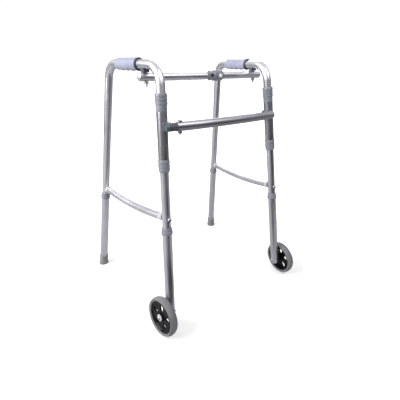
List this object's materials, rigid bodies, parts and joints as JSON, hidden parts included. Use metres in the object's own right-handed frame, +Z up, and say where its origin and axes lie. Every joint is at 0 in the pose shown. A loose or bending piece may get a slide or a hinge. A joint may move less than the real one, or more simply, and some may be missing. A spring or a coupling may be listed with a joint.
{
  "type": "walking frame",
  "caption": "Folding aluminium walking frame with two front wheels, rear rubber tips, hand grips, a bowed front crossbar and a push-button lock bar.",
  "frame": {"origin": "on the floor at the bottom centre of the whole frame's box", "axes": "+Z up, -Y to the front where the wheels are, +X to the user's left"},
  "size_m": [0.622, 0.5585, 0.8014],
  "materials": {
    "anodised_aluminium": "satin anodised",
    "sleeve_aluminium": "satin anodised",
    "zinc_steel": "zinc plated",
    "blue_grey_plastic": "moulded satin",
    "dark_plastic": "moulded satin",
    "grip_vinyl": "soft vinyl",
    "pale_plastic": "moulded",
    "tip_rubber": "matte rubber",
    "tyre_rubber": "matte rubber",
    "rim_plastic": "moulded gloss",
    "cap_plastic": "moulded"
  },
  "bodies": {
    "front_bar": {"crossbar": "anodised_aluminium", "crossbar_end_cap": "cap_plastic", "crossbar_hinge_stub": "dark_plastic", "crossbar_hinge_bolt": "zinc_steel", "left_crossbar_saddle": "dark_plastic", "left_sleeve": "sleeve_aluminium", "left_top_collar": "blue_grey_plastic", "left_bottom_collar": "blue_grey_plastic", "right_crossbar_saddle": "dark_plastic", "right_sleeve": "sleeve_aluminium", "right_top_collar": "blue_grey_plastic", "right_bottom_collar": "blue_grey_plastic"},
    "left_side": {"left_side_frame": "anodised_aluminium", "left_grip": "grip_vinyl", "left_grip_collar": "dark_plastic", "left_pin_bracket": "dark_plastic", "left_brace": "anodised_aluminium", "left_brace_front_plug": "cap_plastic", "left_brace_front_bolt": "zinc_steel", "left_brace_rear_plug": "cap_plastic", "left_brace_rear_bolt": "zinc_steel", "left_lock_bar_bolt": "zinc_steel"},
    "right_side": {"right_side_frame": "anodised_aluminium", "right_grip": "grip_vinyl", "right_grip_collar": "dark_plastic", "right_pin_bracket": "dark_plastic", "right_brace": "anodised_aluminium", "right_brace_front_plug": "cap_plastic", "right_brace_front_bolt": "zinc_steel", "right_brace_rear_plug": "cap_plastic", "right_brace_rear_bolt": "zinc_steel"},
    "left_bar": {"left_lock_bar": "anodised_aluminium", "knuckle_housing": "blue_grey_plastic", "knuckle_pin": "zinc_steel"},
    "right_bar": {"right_lock_bar": "anodised_aluminium", "knuckle_tongue": "zinc_steel", "right_lock_bar_bolt": "zinc_steel"},
    "push_button": {"release_button": "pale_plastic"},
    "left_front_leg": {"left_front_lower_leg": "anodised_aluminium", "left_front_height_collar": "blue_grey_plastic", "left_axle_bolt": "zinc_steel"},
    "left_front_button": {"left_front_height_button": "zinc_steel"},
    "left_rear_leg": {"left_rear_lower_leg": "anodised_aluminium", "left_rear_height_collar": "blue_grey_plastic", "left_rear_tip": "tip_rubber"},
    "left_rear_button": {"left_rear_height_button": "zinc_steel"},
    "left_wheel": {"left_tyre": "tyre_rubber", "left_rim": "rim_plastic", "left_hub_cap": "cap_plastic"},
    "right_front_leg": {"right_front_lower_leg": "anodised_aluminium", "right_front_height_collar": "blue_grey_plastic", "right_axle_bolt": "zinc_steel"},
    "right_front_button": {"right_front_height_button": "zinc_steel"},
    "right_rear_leg": {"right_rear_lower_leg": "anodised_aluminium", "right_rear_height_collar": "blue_grey_plastic", "right_rear_tip": "tip_rubber"},
    "right_rear_button": {"right_rear_height_button": "zinc_steel"},
    "right_wheel": {"right_tyre": "tyre_rubber", "right_rim": "rim_plastic", "right_hub_cap": "cap_plastic"}
  },
  "joints": [
    {"name": "left_fold", "type": "hinge", "parent": "front_bar", "child": "left_side", "pos_m": [0.2097, -0.14734, 0.6], "axis": [-0.0657, 0.1213, 0.9904], "range_deg": [0, 32]},
    {"name": "right_fold", "type": "hinge", "parent": "front_bar", "child": "right_side", "pos_m": [-0.2097, -0.14734, 0.6], "axis": [0.0657, 0.1213, 0.9904], "range_deg": [-32, 0]},
    {"name": "left_bar_pivot", "type": "hinge", "parent": "left_side", "child": "left_bar", "pos_m": [0.2045, -0.0584, 0.752], "axis": [0, 0.1219, 0.9925], "range_deg": [-70.5, 0]},
    {"name": "knuckle", "type": "hinge", "parent": "left_bar", "child": "right_bar", "pos_m": [0.0145, -0.0584, 0.752], "axis": [0, 0.1219, 0.9925], "range_deg": [0, 71]},
    {"name": "release_button_press", "type": "slide", "parent": "left_bar", "child": "push_button", "axis": [0, 1, 0], "range_m": [0, 0.003], "stiffness_N_per_m": 400, "springref_m": -0.002},
    {"name": "left_front_height", "type": "slide", "parent": "left_side", "child": "left_front_leg", "axis": [0.0657, -0.1213, -0.9904], "range_m": [0, 0.15]},
    {"name": "left_front_button_press", "type": "slide", "parent": "left_front_leg", "child": "left_front_button", "axis": [-0.0971, -0.9887, 0.1146], "range_m": [0, 0.0025], "stiffness_N_per_m": 400, "springref_m": -0.002},
    {"name": "left_rear_height", "type": "slide", "parent": "left_side", "child": "left_rear_leg", "axis": [0.0887, 0.1405, -0.9861], "range_m": [0, 0.15]},
    {"name": "left_rear_button_press", "type": "slide", "parent": "left_rear_leg", "child": "left_rear_button", "axis": [-0.0766, -0.9861, -0.1474], "range_m": [0, 0.0025], "stiffness_N_per_m": 400, "springref_m": -0.002},
    {"name": "left_wheel_spin", "type": "hinge", "parent": "left_front_leg", "child": "left_wheel", "pos_m": [0.27525, -0.21599, 0.06331], "axis": [0.9931, -0.0886, 0.0767], "continuous": true},
    {"name": "right_front_height", "type": "slide", "parent": "right_side", "child": "right_front_leg", "axis": [-0.0657, -0.1213, -0.9904], "range_m": [0, 0.15]},
    {"name": "right_front_button_press", "type": "slide", "parent": "right_front_leg", "child": "right_front_button", "axis": [0.0971, -0.9887, 0.1146], "range_m": [0, 0.0025], "stiffness_N_per_m": 400, "springref_m": -0.002},
    {"name": "right_rear_height", "type": "slide", "parent": "right_side", "child": "right_rear_leg", "axis": [-0.0887, 0.1405, -0.9861], "range_m": [0, 0.15]},
    {"name": "right_rear_button_press", "type": "slide", "parent": "right_rear_leg", "child": "right_rear_button", "axis": [0.0766, -0.9861, -0.1474], "range_m": [0, 0.0025], "stiffness_N_per_m": 400, "springref_m": -0.002},
    {"name": "right_wheel_spin", "type": "hinge", "parent": "right_front_leg", "child": "right_wheel", "pos_m": [-0.27525, -0.21599, 0.06331], "axis": [-0.9931, -0.0886, 0.0767], "continuous": true}
  ],
  "couplings": [
    {"joint": "right_fold", "follows": "left_fold", "ratio": -1},
    {"joint": "left_bar_pivot", "follows": "left_fold", "ratio": -2.1992},
    {"joint": "knuckle", "follows": "left_fold", "ratio": 2.2166}
  ]
}
